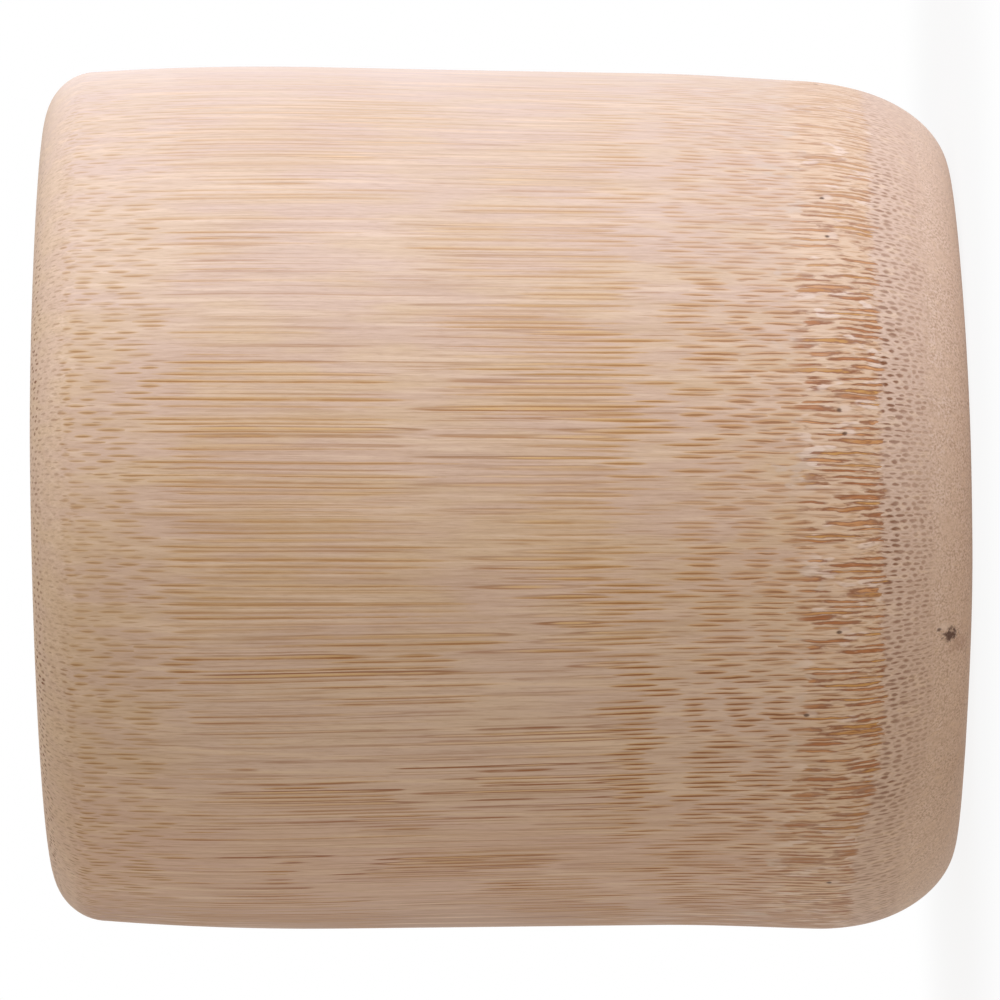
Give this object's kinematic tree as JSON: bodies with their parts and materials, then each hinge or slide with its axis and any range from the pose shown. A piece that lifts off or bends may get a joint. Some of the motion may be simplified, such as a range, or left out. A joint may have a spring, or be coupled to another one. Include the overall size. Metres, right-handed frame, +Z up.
{
  "type": "bamboo cup",
  "caption": "Handleless drinking cup made from a length of bamboo stem, with a rounded lip, a gently barrelled wall, a rounded heel and the node's own partition as its floor.",
  "frame": {"origin": "centre of the foot ring, in the plane of the table that the cup stands on", "axes": "+Z up along the cup's axis, out of the mouth; the solids are round about Z, so X and Y only tell the natural unevenness of the visual model apart"},
  "size_m": [0.08, 0.08, 0.084],
  "materials": {
    "bamboo_wall": "bare bamboo, sanded, matt, with the fibres showing",
    "bamboo_node": "bare bamboo node tissue, matt"
  },
  "bodies": {
    "root": {"culm_wall": "bamboo_wall", "node_diaphragm": "bamboo_node"}
  },
  "joints": []
}
